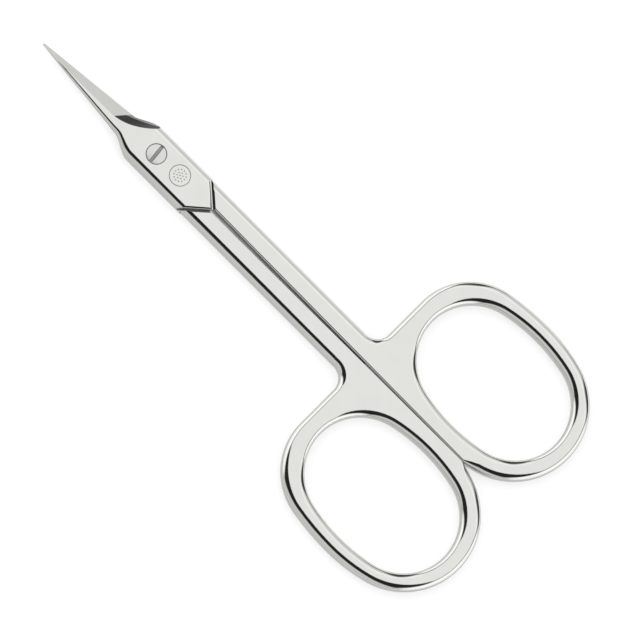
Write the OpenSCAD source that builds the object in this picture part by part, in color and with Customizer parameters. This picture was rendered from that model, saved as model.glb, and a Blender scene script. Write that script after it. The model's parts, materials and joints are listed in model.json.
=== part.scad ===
// Cuticle scissors, closed and lying on their back: +Y points to the tips, +Z is the side with the screw's head.
// Each half is forged in one piece: blade, joint plate, shank and finger ring. The two halves are one shape, and the
// rear one is turned half round about the long axis. They lap face to face at the pivot, and each shank steps up to
// full thickness behind the other half's V-ended plate.

/* [Blade] */
// Distance from the pivot to the tips
tip_from_pivot = 21.4; // [18:0.1:30]
// Width of a blade at its very tip
tip_w = 0.28; // [0.2:0.02:0.6]
// Thickness of one blade at its very tip
tip_t = 0.27; // [0.2:0.01:0.5]
// Width of a blade at its root, where the shoulders begin
root_w = 3.46; // [2.6:0.02:4.4]
// Thickness of one blade at the end of its flat face
root_t = 0.82; // [0.6:0.01:1.2]
// Length of the shoulders between blade and plate
shoulder_len = 3.6; // [2:0.1:6]
// Length over which the front face drops from the plate to the blade
face_drop_len = 5.5; // [4:0.1:8]
// Slope of the ground bevel across the blade, in degrees
bevel_angle = 22.3; // [16:0.1:30]
// Thickness left at the cutting edge
edge_t = 0.06; // [0.03:0.01:0.12]
// Radius of the grinding wheel that cut the bevel
wheel_r = 20; // [18:1:60]
// Radius of the wheel's worn corner, which rounds the foot of the heel
heel_round = 0.93; // [0.4:0.01:1.6]
// Slope of the wall that the wheel's rim leaves at the heel, in degrees
heel_wall_angle = 65; // [40:1:75]
// Direction of the heel wall across the blade, in degrees from the edge
heel_skew = 31; // [26:0.5:55]
// How far the bevel runs past the blade's root
heel_past_root = 1.55; // [0.3:0.05:2]
// Width of the rounded edge along a blade, as a share of its thickness
blade_round = 0.65; // [0.4:0.01:0.9]

/* [Joint plate] */
// Width of the joint plate
plate_w = 6.3; // [5:0.1:8]
// Thickness of one half's plate
plate_t = 1.4; // [1.1:0.05:2]
// Distance from the pivot to the end of the plate at the shoulders
plate_front = 2.4; // [2:0.1:4]
// Width of the rounded edge along the plate's sides, as a share of its thickness
plate_round = 0.79; // [0.5:0.01:0.9]
// Distance from the pivot to the point of the V end, on the plate's face
vee_from_pivot = 10.04; // [8:0.02:13]
// Angle between each leg of the V and the long axis, in degrees
vee_angle = 42; // [35:1:55]
// Radius of the rounded edges along the V
vee_round = 0.6; // [0.2:0.05:0.8]
// Slope of the free leg's edge where its wall begins, in degrees
free_edge_angle = 38; // [30:1:70]
// Slope of the filed leg's chamfer, in degrees
file_angle = 46; // [35:1:55]
// Width of the filed leg's chamfer below its rounded edge
file_chamfer = 0.15; // [0.05:0.01:0.3]
// Width of the shallow file groove in the shank beside that chamfer
file_groove = 0.36; // [0.2:0.02:0.6]
// Gap between the V's free leg and the other half's shoulder
vee_gap = 0.35; // [0.1:0.01:0.5]
// Play between the two lapped faces
lap_play = 0.03; // [0.02:0.01:0.06]

/* [Shank] */
// Distance from the centre line to the outside of a shank
shank_out = 3.08; // [2.4:0.02:4]
// Thickness of the shanks and finger rings
handle_t = 2.4; // [2:0.05:3]
// Width of the gap between the shanks behind the V
shank_gap = 0.7; // [0.2:0.05:0.9]
// Radius of the inner corners of the shanks
parting_round = 0.4; // [0.1:0.01:0.5]
// Radius of the crotch between shank and ring
crotch_r = 2.3; // [1.2:0.1:4]

/* [Finger ring] */
// Distance from the pivot to the bottom of the rings
end_from_pivot = 68.6; // [58:0.1:80]
// Width of a finger hole
hole_w = 16.64; // [14:0.1:22]
// Height of a finger hole
hole_h = 23.5; // [20:0.1:30]
// Radius of a finger hole's round ends, as a share of half its width
hole_end_share = 0.95; // [0.8:0.01:0.98]
// Width of the band outside a hole
outer_band = 2.52; // [2.2:0.02:3.4]
// Width of the band between a hole and the other ring
inner_band = 2.63; // [2.3:0.02:3.4]
// Width of the band at the bottom of a hole
bottom_band = 2.65; // [2.3:0.05:3.4]
// Width of the band at the top of a hole
top_band = 2.95; // [2.3:0.05:3.6]
// Radius of the ring's outline at the bottom, as a share of half the ring's width
bottom_share = 0.955; // [0.86:0.005:0.98]
// Radius of the outline at the upper outer corner, as a share of half the ring's width
corner_share = 0.856; // [0.7:0.002:0.9]
// How far a ring's outer side bulges past its upper corner
side_bulge = 0.44; // [0.1:0.02:0.8]
// Depth ground off each ring where the two meet
stop_flat = 0.4; // [0.2:0.05:0.7]
// Gap between the rings when closed
stop_gap = 0.06; // [0.04:0.01:0.1]

/* [Pivot screw] */
// Diameter of the screw's shank
screw_d = 1.6; // [1.2:0.1:2.4]
// Diameter of the screw's head
head_d = 2.8; // [2.4:0.1:3.6]
// Depth of the head's seat in the front plate
head_seat = 0.7; // [0.4:0.05:0.9]
// Height of the head's crown above the plate
crown_h = 0.05; // [0:0.01:0.15]
// Width of the slot
slot_w = 0.45; // [0.3:0.05:0.7]
// Depth of the slot at the rim
slot_depth = 0.32; // [0.2:0.02:0.5]
// Turn of the slot, in degrees
slot_turn = 6; // [-90:1:90]
// Running clearance round the screw
running_clearance = 0.03; // [0.02:0.01:0.06]
// Clearance of the screw's thread in the rear plate
thread_clearance = 0.01; // [0.01:0.005:0.02]

/* [Hidden] */

// Fineness of the preview
$fn = 96;
// Steps in the rounding of an edge, along the blade, along its shoulders and round the crotch
round_steps = 4;
blade_steps = 6;
shoulder_steps = 10;
crotch_steps = 8;
// Turn between two sections of the ring, in degrees
ring_step = 5;
// Width of a rounded edge as a share of half the handle's thickness, and its height as a share of its width
edge_share = 0.92;
edge_drop = 0.8;
// How far cutters and bars run past what they cut
past = 0.1;

pivot_y = (end_from_pivot - tip_from_pivot) / 2;
half_t = handle_t / 2;
handle_round = edge_share * half_t;
root_from_tip = tip_from_pivot - plate_front - shoulder_len;
plate_from_tip = tip_from_pivot - plate_front;
vee_from_tip = tip_from_pivot + vee_from_pivot;
edge_slope = (root_w - tip_w) / 2 / root_from_tip;

hole_x = stop_gap / 2 + inner_band + hole_w / 2;
hole_y = -end_from_pivot + bottom_band + hole_h / 2;
ring_right = hole_x + hole_w / 2 + outer_band;
ring_left = stop_gap / 2 - stop_flat;
ring_top = hole_y + hole_h / 2 + top_band;
ring_half = (ring_right - ring_left) / 2;
bottom_r = bottom_share * ring_half;
corner_r = corner_share * ring_half;
bottom_y = -end_from_pivot + bottom_r;
bottom_x = (ring_left + ring_right) / 2;
corner_x = ring_right - corner_r - side_bulge;
corner_y = ring_top - corner_r;
hole_end_r = hole_end_share * hole_w / 2;
hole_end_y = hole_h / 2 - hole_end_r;

// Share of a step from 0 to 1 that is covered at u, with a soft start and end
function ease(u) = let (v = max(0, min(1, u))) v * v * (3 - 2 * v);

// Radius of an arc that is upright at distance a from a smaller arc's centre, drop along the axis from it,
// and runs smoothly into that arc of radius r
function side_r(a, drop, r) = (a * a + drop * drop - r * r) / (2 * (a - r));

// Half the width of a blade and plate, and the height of the front face, at distance s from the tip
function straight_w(s) = tip_w / 2 + edge_slope * s;
function half_w(s) = straight_w(s) + (plate_w / 2 - straight_w(s)) * ease((s - root_from_tip) / shoulder_len);
function blade_t(s) = tip_t + (root_t - tip_t) * min(1, s / (plate_from_tip - face_drop_len));
function face_z(s) = blade_t(s) + (plate_t - blade_t(s)) * ease((s - plate_from_tip + face_drop_len) / face_drop_len);

// The two corners of an edge, rounded over width b: the edge stands at p, and in points into the metal.
// The points run from the top face down to the bottom face
function rounded_edge(p, in, b) = [
    for (side = [1, -1], k = [0 : round_steps])
        let (a = side > 0 ? 90 - k * 90 / round_steps : k * 90 / round_steps, d = b * (1 - cos(a)))
            [p.x + in.x * d, p.y + in.y * d, side * (half_t - edge_drop * b * (1 - sin(a)))]
];

// Half the gap between the two handles at height y along the long axis
function parting_x(y) = stop_gap / 2 + (shank_gap - stop_gap) / 2 * (y - hole_y) / (-vee_from_pivot - hole_y);

// Point on an oval's outline where its normal has angle a. Each row of arcs holds a first and last angle,
// a centre and a radius
function on_arcs(arcs, a) = let (r = [for (r = arcs) if (a <= r[0] && a >= r[1]) r][0])
    [r[2].x + r[3] * cos(a), r[2].y + r[3] * sin(a)];

// Arcs of the finger hole, from its top round by the right, and from its left up again
hole_side = side_r(hole_w / 2, hole_end_y, hole_end_r);
hole_turn = atan2(hole_end_y, hole_side - hole_w / 2);
hole_arcs = [
    [180, 180 - hole_turn, [hole_x - hole_w / 2 + hole_side, hole_y], hole_side],
    [180 - hole_turn, hole_turn, [hole_x, hole_y + hole_end_y], hole_end_r],
    [hole_turn, -hole_turn, [hole_x + hole_w / 2 - hole_side, hole_y], hole_side],
    [-hole_turn, hole_turn - 180, [hole_x, hole_y - hole_end_y], hole_end_r],
    [hole_turn - 180, -180, [hole_x - hole_w / 2 + hole_side, hole_y], hole_side]
];

// Arcs of the ring's forged outline, from the crown round by the right and the bottom to the left
upper_side = side_r(ring_right - corner_x, corner_y - hole_y, corner_r);
upper_turn = atan2(corner_y - hole_y, upper_side - ring_right + corner_x);
lower_side = side_r(ring_right - bottom_x, hole_y - bottom_y, bottom_r);
lower_turn = atan2(hole_y - bottom_y, lower_side - ring_right + bottom_x);
left_side = side_r(bottom_x - ring_left, hole_y - bottom_y, bottom_r);
left_turn = atan2(hole_y - bottom_y, left_side - bottom_x + ring_left);
ring_arcs = [
    [90, upper_turn, [corner_x, corner_y], corner_r],
    [upper_turn, 0, [ring_right - upper_side, hole_y], upper_side],
    [0, -lower_turn, [ring_right - lower_side, hole_y], lower_side],
    [-lower_turn, left_turn - 180, [bottom_x, bottom_y], bottom_r],
    [left_turn - 180, -180, [ring_left + left_side, hole_y], left_side]
];

// Section of the ring from the hole's edge, at normal angle a, to the outer edge at p with corner radius b
function band_section(a, p, in, b) = concat(
    rounded_edge(on_arcs(hole_arcs, a), [cos(a), sin(a)], handle_round),
    let (outer = rounded_edge(p, in, b)) [for (k = [len(outer) - 1 : -1 : 0]) outer[k]]
);

// Section of the forged ring where its normal has angle a. Where it would cross the parting line it is ground off
function ring_section(a) =
    let (
        p = on_arcs(ring_arcs, a),
        ground_x = parting_x(p.y),
        b = parting_round + (handle_round - parting_round) * ease((p.x - ground_x) / stop_flat),
        flat = a < left_turn - 180 && p.x < ground_x
    )
        flat ? band_section(a, [ground_x, p.y], [1, 0], parting_round) : band_section(a, p, [-cos(a), -sin(a)], b);

// Finger ring and crotch as one closed loft round the finger hole. It ends square across the shank
module finger_ring() {
    crotch_y = ring_top + crotch_r;
    sections = concat(
        [for (a = [90 - ring_step : -ring_step : -180]) ring_section(a)],
        [
            for (u = [0.2 : 0.2 : 1])
                let (y = hole_y + u * (crotch_y - hole_y))
                    band_section(180 - 45 * u, [parting_x(y), y], [1, 0], parting_round)
        ],
        [
            for (u = [0 : 1 / crotch_steps : 1.001])
                let (a = 180 + 90 * u)
                    band_section(
                        129 - 17 * u,
                        [shank_out + crotch_r + crotch_r * cos(a), crotch_y + crotch_r * sin(a)],
                        [cos(a), sin(a)],
                        handle_round
                    )
        ],
        [
            for (u = [0.5, 1])
                let (x = shank_out + crotch_r + u * (corner_x - shank_out - crotch_r))
                    band_section(112 - 22 * u, [x, ring_top], [0, -1], handle_round)
        ]
    );
    n = len(sections);
    m = len(sections[0]);
    polyhedron(
        [for (s = sections) each s],
        [
            for (i = [0 : n - 1], k = [0 : m - 1], second = [0, 1])
                let (p = i * m + k, q = i * m + (k + 1) % m, p2 = (i + 1) % n * m + k, q2 = (i + 1) % n * m + (k + 1) % m)
                    second ? [p, p2, q2] : [p, q2, q]
        ],
        convexity = 8
    );
}

// Section of the shank at height y along the long axis
function shank_section(y) = concat(
    rounded_edge([parting_x(y), y], [1, 0], parting_round),
    let (outer = rounded_edge([shank_out, y], [-1, 0], handle_round))
        [for (k = [len(outer) - 1 : -1 : 0]) outer[k]]
);

// Straight part of the shank, from the crotch up to under the plate
module shank() {
    ends = [shank_section(ring_top + crotch_r), shank_section(-vee_from_pivot / 2)];
    m = len(ends[0]);
    polyhedron(
        [for (s = ends) each s],
        concat(
            [[for (k = [m - 1 : -1 : 0]) k], [for (k = [0 : m - 1]) m + k]],
            [
                for (k = [0 : m - 1], second = [0, 1])
                    let (q = (k + 1) % m)
                        second ? [k, m + q, m + k] : [k, q, m + q]
            ]
        ),
        convexity = 2
    );
}

// Bar along one leg of the V, right of the centre line for side 1. Its section is drawn across the leg: x is
// the distance from the leg's edge on the face towards the blade, and y is the height
module along_leg(side, from = -end_from_pivot) {
    translate([0, -vee_from_pivot, 0])
        rotate([0, 0, side * (90 - vee_angle)])
            translate([from, 0, 0])
                rotate([90, 0, 90])
                    linear_extrude(end_from_pivot - from)
                        children();
}

// Points of a leg's rounded edge, from the face down to where its slope is angle
function leg_edge(angle) = [
    for (k = [0 : round_steps])
        let (a = k * angle / round_steps)
            [-vee_round * sin(a), plate_t - vee_round * (1 - cos(a))]
];

free_wall = -vee_round * sin(free_edge_angle);
file_top = leg_edge(file_angle)[round_steps];
file_foot = [file_top.x - file_chamfer, file_top.y - file_chamfer * tan(file_angle)];

// Half-space on the blade's side of the V's free leg, with its edge rounded
module free_leg() {
    edge = leg_edge(free_edge_angle);
    along_leg(-1)
        polygon(concat(
            [[end_from_pivot, -past], [free_wall, -past]],
            [for (k = [round_steps : -1 : 0]) edge[k]],
            [[0, plate_t + past], [end_from_pivot, plate_t + past]]
        ));
}

// Half-space on the blade's side of the leg that runs into the shank
module filed_leg() {
    along_leg(1)
        translate([file_foot.x, -past])
            square([end_from_pivot, plate_t + 2 * past]);
}

// What the file takes off: the rounded edge and chamfer of the plate, and the groove in the shank beside it
module file_cut() {
    reach = 1.5;
    far = file_foot + reach * [-file_groove, half_t - file_foot.y];
    along_leg(1, -vee_round - past)
        polygon(concat(leg_edge(file_angle), [file_foot, far, [far.x, 2 * plate_t], [0, 2 * plate_t]]));
}

// Shank and ring, with room for the other half's plate in their lower layer
module handle() {
    finger_ring();
    difference() {
        shank();
        along_leg(1)
            translate([free_wall - vee_gap, -2 * handle_t])
                square([2 * end_from_pivot, 2 * handle_t + lap_play / 2]);
    }
}

// Blade and plate as one loft along the long axis, with a flat lapped face and rounded edges
module blade_and_plate_loft() {
    drop_from_tip = plate_from_tip - face_drop_len;
    stations = concat(
        [for (i = [0 : blade_steps - 1]) i * drop_from_tip / blade_steps],
        [for (i = [0 : shoulder_steps]) drop_from_tip + i * face_drop_len / shoulder_steps],
        [vee_from_tip + 2 * handle_t]
    );
    count = 2 * (round_steps + 2);
    points = [
        for (s = stations)
            let (
                w = half_w(s),
                top = face_z(s),
                share = blade_round + (plate_round - blade_round) * ease((s - root_from_tip) / shoulder_len),
                b = min(share * top, 0.95 * w)
            )
                for (k = [0 : count - 1])
                    let (
                        right = k < count / 2,
                        j = right ? k : count - 1 - k,
                        a = (j - 1) * 90 / round_steps,
                        x = j == 0 ? w : w - b * (1 - cos(a)),
                        z = j == 0 ? lap_play / 2 : top - edge_drop * b * (1 - sin(a))
                    )
                        [right ? x : -x, tip_from_pivot - s, z]
    ];
    last = len(stations) - 1;
    faces = concat(
        [[for (k = [0 : count - 1]) k]],
        [
            for (i = [0 : last - 1], k = [0 : count - 1], second = [0, 1])
                let (p = i * count + k, q = i * count + (k + 1) % count)
                    second ? [p, p + count, q + count] : [p, q + count, q]
        ],
        [[for (k = [count - 1 : -1 : 0]) last * count + k]]
    );
    polyhedron(points, faces, convexity = 4);
}

// The grinding wheel where it cuts the bevel: its flat side lies on the bevel, its rim leaves the heel wall
module grinding_wheel() {
    heel = root_from_tip + heel_past_root;
    bends = [for (k = [0 : round_steps]) k * heel_wall_angle / round_steps];
    corner = [for (a = bends) [wheel_r + heel_round * sin(a), heel_round * (1 - cos(a))]];
    top = 3 * plate_t;
    rim = corner[round_steps].x + (top - corner[round_steps].y) / tan(heel_wall_angle);
    translate([straight_w(heel), tip_from_pivot - heel, edge_t])
        rotate([0, 0, atan(edge_slope)])
            rotate([0, bevel_angle, 0])
                translate([wheel_r * cos(heel_skew), wheel_r * sin(heel_skew), 0])
                    rotate_extrude()
                        polygon(concat([[0, 0]], corner, [[rim, top], [0, top]]));
}

// One half, lapped at z = 0 and with its pivot at the origin, without its holes
module half_blank() {
    difference() {
        union() {
            difference() {
                intersection() {
                    blade_and_plate_loft();
                    free_leg();
                    filed_leg();
                }
                grinding_wheel();
            }
            handle();
        }
        file_cut();
    }
}

// Puts a piece made round the pivot where the closed scissors lie
module in_place() {
    translate([0, pivot_y, plate_t])
        children();
}

module front_half() {
    color([0.82, 0.82, 0.8])
        in_place()
            difference() {
                half_blank();
                translate([0, 0, -past])
                    cylinder(h = plate_t + 2 * past, d = screw_d + 2 * running_clearance);
                translate([0, 0, plate_t - head_seat])
                    cylinder(h = head_seat + past, d = head_d + 2 * running_clearance);
            }
}

module rear_half() {
    color([0.78, 0.78, 0.76])
        in_place()
            difference() {
                rotate([0, 180, 0])
                    half_blank();
                translate([0, 0, -plate_t - past])
                    cylinder(h = plate_t + 2 * past, d = screw_d + 2 * thread_clearance);
            }
}

// Slotted screw: its head sinks into the front plate, and its end is ground flush in the rear plate
module pivot_screw() {
    under_head = plate_t - head_seat + lap_play / 2;
    rim = head_d / 2;
    dome_r = (rim * rim + 4 * crown_h * crown_h) / (4 * crown_h + 0.001);
    color([0.7, 0.7, 0.68])
        in_place()
            difference() {
                union() {
                    intersection() {
                        translate([0, 0, under_head])
                            cylinder(h = head_seat + crown_h, r = rim);
                        translate([0, 0, plate_t + crown_h - dome_r])
                            sphere(dome_r);
                    }
                    translate([0, 0, -plate_t])
                        cylinder(h = plate_t + under_head + past, d = screw_d);
                }
                rotate([0, 0, slot_turn])
                    translate([-head_d, -slot_w / 2, plate_t - slot_depth])
                        cube([2 * head_d, slot_w, slot_depth + 1]);
            }
}

front_half();
rear_half();
pivot_screw();
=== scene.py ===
"""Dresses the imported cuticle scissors: two lapped halves in polished steel and the slotted screw between them.

Lengths in the classes are in millimetres and measured from the pivot: +Y to the tips, +Z to the side with the
screw's head, and z = 0 between the two lapped halves. They go into the frame's metres when a mesh is made.
"""

import json
import logging
from collections.abc import Callable, Iterable, Sequence
from dataclasses import dataclass, field
from enum import Enum
from functools import reduce
from math import atan, atan2, cos, degrees, pi, radians, sin, tan
from operator import mul

import bmesh
import bpy
from mathutils import Matrix, Vector

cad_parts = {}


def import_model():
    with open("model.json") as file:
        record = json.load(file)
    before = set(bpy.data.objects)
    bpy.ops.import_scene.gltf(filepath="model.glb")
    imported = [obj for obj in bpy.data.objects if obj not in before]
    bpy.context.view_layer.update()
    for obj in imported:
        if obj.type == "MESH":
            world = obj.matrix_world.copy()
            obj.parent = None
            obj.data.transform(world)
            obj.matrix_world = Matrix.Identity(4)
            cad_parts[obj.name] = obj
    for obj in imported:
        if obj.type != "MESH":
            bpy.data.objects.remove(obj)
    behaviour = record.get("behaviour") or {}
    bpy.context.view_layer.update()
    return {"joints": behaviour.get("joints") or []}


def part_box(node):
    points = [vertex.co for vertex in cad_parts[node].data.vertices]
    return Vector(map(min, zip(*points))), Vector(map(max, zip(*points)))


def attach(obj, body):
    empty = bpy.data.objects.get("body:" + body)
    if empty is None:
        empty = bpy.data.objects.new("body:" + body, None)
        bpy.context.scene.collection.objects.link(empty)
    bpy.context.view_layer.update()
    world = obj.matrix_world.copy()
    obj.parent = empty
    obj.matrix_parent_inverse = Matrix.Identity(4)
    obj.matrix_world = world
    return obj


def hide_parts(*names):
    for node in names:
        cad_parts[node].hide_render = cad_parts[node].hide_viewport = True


MM = 0.001  # a millimetre in the frame's metres
WELD = 0.0002  # corners closer than this many millimetres are one
CREASE = 14.0  # degrees from which an edge stays sharp
IMAGE_PX = 640

Pair = tuple[float, float]
Point = tuple[float, float, float]

log = logging.getLogger("cuticle_scissors")


# Shader graphs


class Wire:
    """A socket that Python's operators turn into Math nodes."""

    def __init__(self, graph: "Graph", source: bpy.types.NodeSocket | None) -> None:
        """Wraps an output socket of the graph, or nothing for a node that has none."""
        self.graph = graph
        self.source = source

    def __add__(self, other: "Wire | float") -> "Wire":
        """Sum."""
        return self.graph.math("ADD", self, other)

    __radd__ = __add__

    def __mul__(self, other: "Wire | float") -> "Wire":
        """Product."""
        return self.graph.math("MULTIPLY", self, other)

    __rmul__ = __mul__

    def __sub__(self, other: "Wire | float") -> "Wire":
        """Difference."""
        return self.graph.math("SUBTRACT", self, other)

    def __rsub__(self, other: float) -> "Wire":
        """Difference from a number."""
        return self.graph.math("SUBTRACT", other, self)

    def __abs__(self) -> "Wire":
        """Absolute value."""
        return self.graph.math("ABSOLUTE", self)

    def rise(self, start: float, end: float) -> "Wire":
        """A smooth step.

        Args:
            start: value of this wire where the step leaves 0.
            end: value of this wire where the step reaches 1. Below start, the step falls instead.

        Returns:
            A wire from 0 to 1.
        """
        low, high = min(start, end), max(start, end)
        borders = {"Value": self, "From Min": low, "From Max": high}
        up = self.graph.add("ShaderNodeMapRange", {"interpolation_type": "SMOOTHSTEP"}, borders)
        return up if start < end else 1 - up


class Graph:
    """A node tree of a material or of the world, cleared and ready to fill."""

    FACTOR, FIRST, SECOND, MIXED = 0, 6, 7, 2  # a Mix node's sockets for colours

    def __init__(self, owner: bpy.types.Material | bpy.types.World) -> None:
        """Clears the owner's nodes."""
        owner.use_nodes = True
        self.tree = owner.node_tree
        self.tree.nodes.clear()

    def add(
        self, kind: str, settings: dict | None = None, inputs: dict | None = None, output: str | int = 0
    ) -> Wire:
        """Adds any node.

        Args:
            kind: the node's type.
            settings: attributes of the node, set before its sockets.
            inputs: values or wires by socket name or number.
            output: name or number of the output socket to return.

        Returns:
            The chosen output as a wire.
        """
        node = self.tree.nodes.new(kind)
        for name, value in (settings or {}).items():
            setattr(node, name, value)
        for name, value in (inputs or {}).items():
            if isinstance(value, Wire):
                self.tree.links.new(value.source, node.inputs[name])
            else:
                node.inputs[name].default_value = value
        return Wire(self, node.outputs[output]) if node.outputs else Wire(self, None)

    def math(self, operation: str, *values: Wire | float) -> Wire:
        """Adds a Math node over values or wires."""
        return self.add("ShaderNodeMath", {"operation": operation}, dict(enumerate(values)))

    def blend(self, share: Wire | float, first: "Wire | tuple", second: "Wire | tuple") -> Wire:
        """Mixes two colours, first at share 0 and second at share 1."""
        sockets = {self.FACTOR: share, self.FIRST: first, self.SECOND: second}
        return self.add("ShaderNodeMix", {"data_type": "RGBA"}, sockets, self.MIXED)

    def components(self, vector: Wire) -> tuple[Wire, Wire, Wire]:
        """Splits a vector into its three components."""
        first = self.add("ShaderNodeSeparateXYZ", inputs={"Vector": vector})
        return tuple(Wire(self, socket) for socket in first.source.node.outputs)

    def white(self, kind: str, strength: Wire | float) -> Wire:
        """Adds a white light of the given kind and strength."""
        return self.add(kind, inputs={"Color": (1, 1, 1, 1), "Strength": strength})

    def ray(self, *kinds: str) -> Wire:
        """Tells whether a ray is of one of these kinds, as 1 or 0."""
        wires = [self.add("ShaderNodeLightPath", output=f"Is {kind} Ray") for kind in kinds]
        return reduce(lambda one, other: self.math("MAXIMUM", one, other), wires)


class Grain(Enum):
    """Which way the fine lines of polishing run, as a stretch of the noise in x, y and z."""

    ALONG = (1.0, 0.06, 1.0)
    TURNED = (1.0, 1.0, 0.2)


@dataclass(frozen=True)
class SteelFinish:
    """Polished stainless steel with faint belt lines and clouding.

    Attributes:
        haze: how much the clouding adds to the roughness.
        line_depth: strength of the belt lines' relief.
        side_shade_and_satin: painted shade, the share of its colour that the steel loses on sides that face away from
            z; also how strong the dull finish is that a belt has ground there.
        satin_haze: what that belt-ground finish adds to the roughness, at its full strength.
        side: the normal's z at which the painted shade and the belt-ground finish begin, and from which they are
            full.
        cloud_dark: share of the colour that is left in the darkest cloud.
    """

    name: str
    colour: Point
    roughness: float
    haze: float
    line_depth: float
    grain: Grain = Grain.ALONG
    side_shade_and_satin: float = 0.0
    satin_haze: float = 0.35
    side: Pair = (0.72, 0.40)
    line_scale: float = 14000.0
    cloud_scale: float = 420.0
    cloud_dark: float = 0.93
    cloud_gain: float = 0.96
    cloud_floor: float = 0.18
    relief: float = 0.00001
    line_haze: float = 0.5
    cloud_relief: float = 0.4

    def shade(self, graph: Graph, clouds: Wire, side: Wire) -> Wire:
        """Mixes the steel's colour, with painted shade on the sides that face away from z.

        Args:
            graph: the material's nodes.
            clouds: the clouding.
            side: 1 where the surface faces away from z.

        Returns:
            The colour over the surface.
        """
        dark = tuple(self.cloud_dark * c for c in self.colour)
        # Painted shade: sides that face away from z get a darker colour, standing in for the darker reflections
        # there.
        ground = tuple((1 - self.side_shade_and_satin) * c for c in self.colour)
        clouded = graph.blend(clouds * self.cloud_gain - self.cloud_floor, (*self.colour, 1), (*dark, 1))
        return graph.blend(side, clouded, (*ground, 1))

    def make(self) -> bpy.types.Material:
        """Builds the material.

        Returns:
            The material, whose colour, roughness and normal vary over the surface.
        """
        material = bpy.data.materials.new(self.name)
        graph = Graph(material)
        place = graph.add("ShaderNodeTexCoord", output="Object")
        drawn = graph.add("ShaderNodeVectorMath", {"operation": "MULTIPLY"}, {0: place, 1: self.grain.value})
        line_noise = {"Vector": drawn, "Scale": self.line_scale, "Detail": 2.0}
        cloud_noise = {"Vector": place, "Scale": self.cloud_scale, "Detail": 3.0}
        lines = graph.add("ShaderNodeTexNoise", inputs=line_noise)
        clouds = graph.add("ShaderNodeTexNoise", inputs=cloud_noise)
        normal = graph.add("ShaderNodeTexCoord", output="Normal")
        side = abs(graph.components(normal)[2]).rise(*self.side)
        height = lines + clouds * self.cloud_relief
        bump = {"Strength": self.line_depth, "Distance": self.relief, "Height": height}
        haze = self.haze * (clouds + lines * self.line_haze)
        metal = {
            "Base Color": self.shade(graph, clouds, side),
            "Metallic": 1.0,
            "Roughness": self.roughness + haze + side * (self.satin_haze * self.side_shade_and_satin),
            "Normal": graph.add("ShaderNodeBump", inputs=bump),
        }
        surface = graph.add("ShaderNodeBsdfPrincipled", inputs=metal)
        graph.add("ShaderNodeOutputMaterial", inputs={"Surface": surface})
        return material


POLISHED = SteelFinish("polished_steel", (0.775, 0.78, 0.748), 0.055, 0.045, 0.10, side_shade_and_satin=0.45)
SCREW_STEEL = SteelFinish("screw_steel", (0.72, 0.72, 0.705), 0.12, 0.08, 0.14, Grain.TURNED)
# Painted shade: faces in recesses, gaps and cut walls get this darker colour where shade falls; its higher roughness
# is the cut steel's own.
RECESS_SHADE_STEEL = SteelFinish("recess_shade_steel", (0.46, 0.46, 0.45), 0.35, 0.20, 0.20)
# Painted shade: this near-black colour stands in for the dark reflection in the heel's deep run-out.
HEEL_SHADE_STEEL = SteelFinish("heel_shade_steel", (0.085, 0.085, 0.083), 0.35, 0.20, 0.30)


@dataclass(frozen=True)
class Steels:
    """The scissors' materials, each made once."""

    polished: bpy.types.Material = field(default_factory=POLISHED.make)
    screw: bpy.types.Material = field(default_factory=SCREW_STEEL.make)
    recess_shade: bpy.types.Material = field(default_factory=RECESS_SHADE_STEEL.make)
    heel_shade: bpy.types.Material = field(default_factory=HEEL_SHADE_STEEL.make)



# Meshes


def put(name: str, data: bpy.types.ID) -> bpy.types.Object:
    """Adds an object to the scene."""
    thing = bpy.data.objects.new(name, data)
    bpy.context.scene.collection.objects.link(thing)
    return thing


def turn(angle: float, axis: str) -> Matrix:
    """Rotation by an angle in degrees about X, Y or Z."""
    return Matrix.Rotation(radians(angle), 4, axis)


def shift(x: float, y: float, z: float = 0.0) -> Matrix:
    """Translation in millimetres."""
    return Matrix.Translation((x, y, z))


def ease(u: float) -> float:
    """Share of a step from 0 to 1 that is covered at u, with a soft start and end."""
    v = max(0.0, min(1.0, u))
    return v * v * (3 - 2 * v)


def steps(count: int) -> list[float]:
    """The numbers from 0 to 1 in count equal steps."""
    return [i / count for i in range(count + 1)]


def heading(angle: float) -> Pair:
    """The direction at an angle in degrees."""
    return cos(radians(angle)), sin(radians(angle))


def around(radius: float, count: int, x: float = 0.0, y: float = 0.0) -> list[Pair]:
    """Points in count equal steps round a circle about x, y."""
    angles = [2 * pi * i / count for i in range(count)]
    return [(x + radius * cos(angle), y + radius * sin(angle)) for angle in angles]


def quads(rows: int, count: int, first: int = 0, closed: bool = False) -> list[tuple[int, ...]]:
    """Faces between rows of points that follow each other.

    Args:
        rows: how many rows there are.
        count: points in a row, which closes on itself.
        first: number of the first row's first point.
        closed: whether the last row joins the first one.

    Returns:
        The faces, row by row.
    """
    faces = []
    for i in range(rows if closed else rows - 1):
        low, high = first + i * count, first + (i + 1) % rows * count
        faces += [(low + k, low + (k + 1) % count, high + (k + 1) % count, high + k) for k in range(count)]
    return faces


def fan(tip: int, first: int, count: int) -> list[tuple[int, ...]]:
    """Faces from one point to a closed row of points."""
    return [(tip, first + k, first + (k + 1) % count) for k in range(count)]


class Cut(Enum):
    """How one solid works on another."""

    OFF = "DIFFERENCE"
    KEEP = "INTERSECT"
    JOIN = "UNION"


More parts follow.
